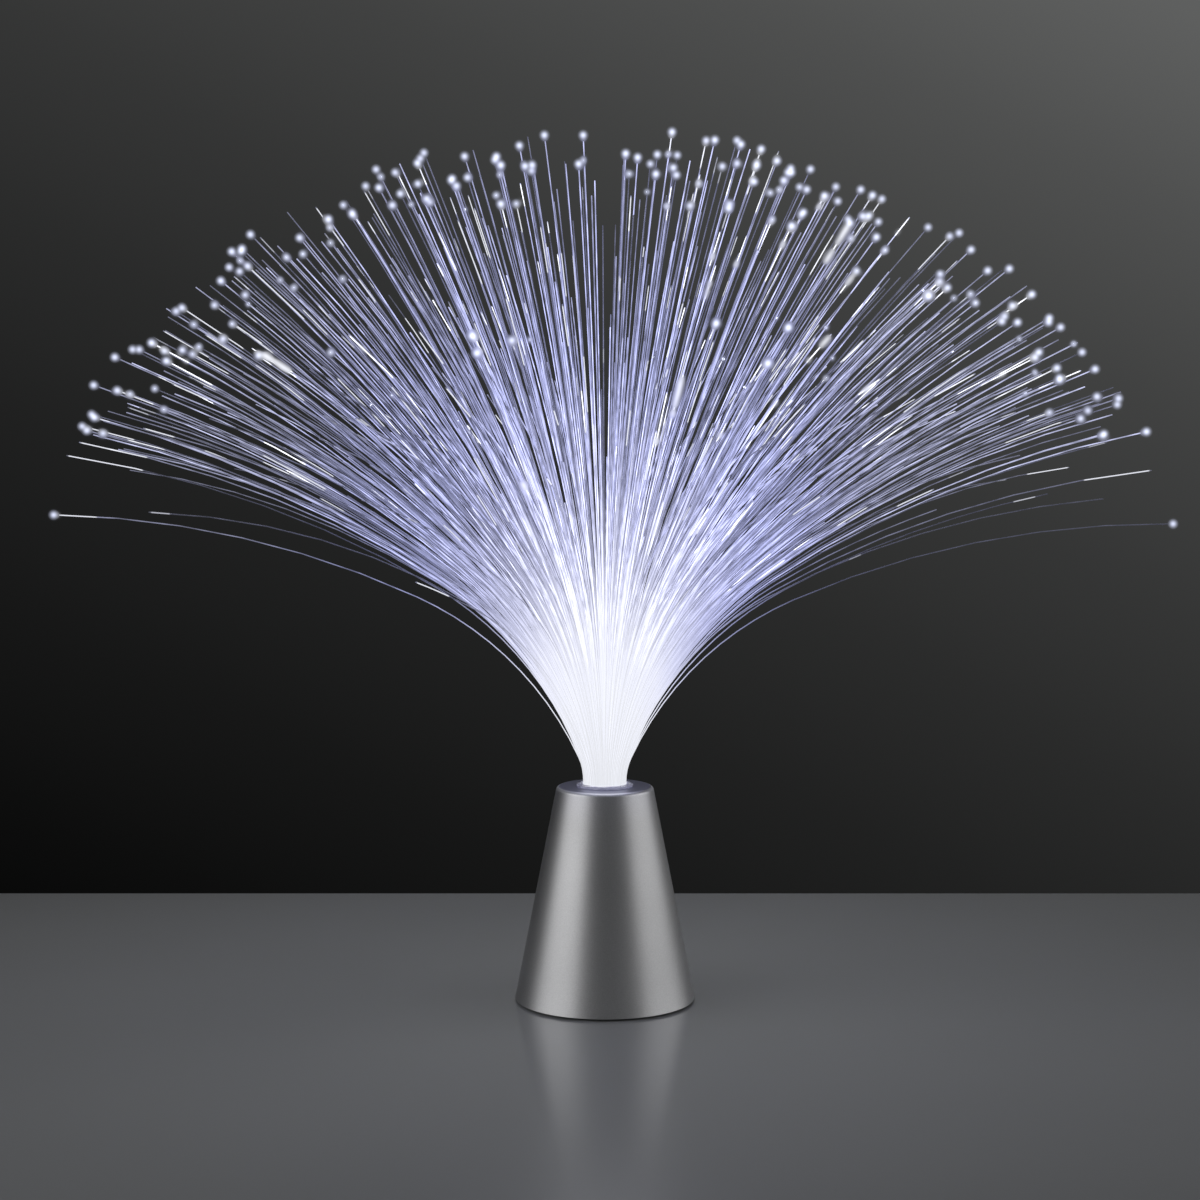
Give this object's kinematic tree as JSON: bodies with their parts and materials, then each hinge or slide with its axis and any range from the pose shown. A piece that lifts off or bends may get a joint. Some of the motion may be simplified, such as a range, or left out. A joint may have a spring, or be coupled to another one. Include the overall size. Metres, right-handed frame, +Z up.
{
  "type": "fiber optic lamp",
  "caption": "Battery-powered lamp: a spray of light-guiding fibres that glow at their tips rises from a silver cone base with a slide switch and a battery door below.",
  "frame": {"origin": "centre of the round base on the surface that the lamp stands on", "axes": "+Z up along the cone's axis, -Y towards the front, +X to the right, where the switch is"},
  "size_m": [0.4194, 0.3965, 0.3352],
  "materials": {
    "silver_shell": "satin silver paint",
    "dark_plastic": "fine texture",
    "tray_plastic": "plain moulded",
    "white_plastic": "polished",
    "foot_rubber": "matte",
    "screw_steel": "zinc plated",
    "contact_metal": "nickel plated",
    "cell_jacket": "printed sleeve, plain",
    "board_green": "solder mask",
    "chip_black": "matte",
    "led_lens": "water clear, lit",
    "clear_plastic": "clear moulded plastic",
    "clear_glue": "clear cured glue",
    "fibre_plastic": "clear light-guiding plastic, lit",
    "wire_red": "soft insulation",
    "wire_black": "soft insulation"
  },
  "bodies": {
    "base": {"cone_shell": "silver_shell", "base_cover": "dark_plastic", "foot_pads": "foot_rubber", "cover_screws": "screw_steel", "tray_screws": "screw_steel", "switch_screws": "screw_steel", "board_screws": "screw_steel", "battery_tray": "tray_plastic", "top_link_strip": "contact_metal", "top_terminal_strip": "contact_metal", "negative_rail": "contact_metal", "contact_spring_2": "contact_metal", "led_board": "board_green", "board_chips": "chip_black", "light_cup": "white_plastic", "switch_body": "chip_black", "switch_lugs": "contact_metal", "supply_wire": "wire_red", "switched_wire": "wire_black", "battery_cell_1": "cell_jacket", "battery_cell_2": "cell_jacket", "battery_cell_3": "cell_jacket", "led_1": "led_lens", "led_2": "led_lens", "led_3": "led_lens"},
    "spray": {"fibre_ferrule": "clear_plastic", "bundle_root": "clear_glue", "glue_bead": "clear_glue", "fibre_tuft_01": "fibre_plastic", "fibre_tuft_02": "fibre_plastic", "fibre_tuft_03": "fibre_plastic", "fibre_tuft_04": "fibre_plastic", "fibre_tuft_05": "fibre_plastic", "fibre_tuft_06": "fibre_plastic", "fibre_tuft_07": "fibre_plastic", "fibre_tuft_08": "fibre_plastic", "fibre_tuft_09": "fibre_plastic", "fibre_tuft_10": "fibre_plastic", "fibre_tuft_11": "fibre_plastic", "fibre_tuft_12": "fibre_plastic", "fibre_tuft_13": "fibre_plastic", "fibre_tuft_14": "fibre_plastic", "fibre_tuft_15": "fibre_plastic", "fibre_tuft_16": "fibre_plastic"},
    "door": {"battery_door": "dark_plastic", "door_screw": "screw_steel", "door_link_strip": "contact_metal", "door_terminal_strip": "contact_metal", "contact_spring_1": "contact_metal", "contact_spring_3": "contact_metal"},
    "slider": {"switch_slider": "dark_plastic"}
  },
  "joints": [
    {"name": "spray_lift", "type": "slide", "parent": "base", "child": "spray", "axis": [0, 0, 1], "range_m": [0, 0.016]},
    {"name": "door_drop", "type": "slide", "parent": "base", "child": "door", "axis": [0, 0, -1], "range_m": [0, 0.012]},
    {"name": "switch_slide", "type": "slide", "parent": "base", "child": "slider", "axis": [0, 1, 0], "range_m": [0, 0.004]}
  ]
}
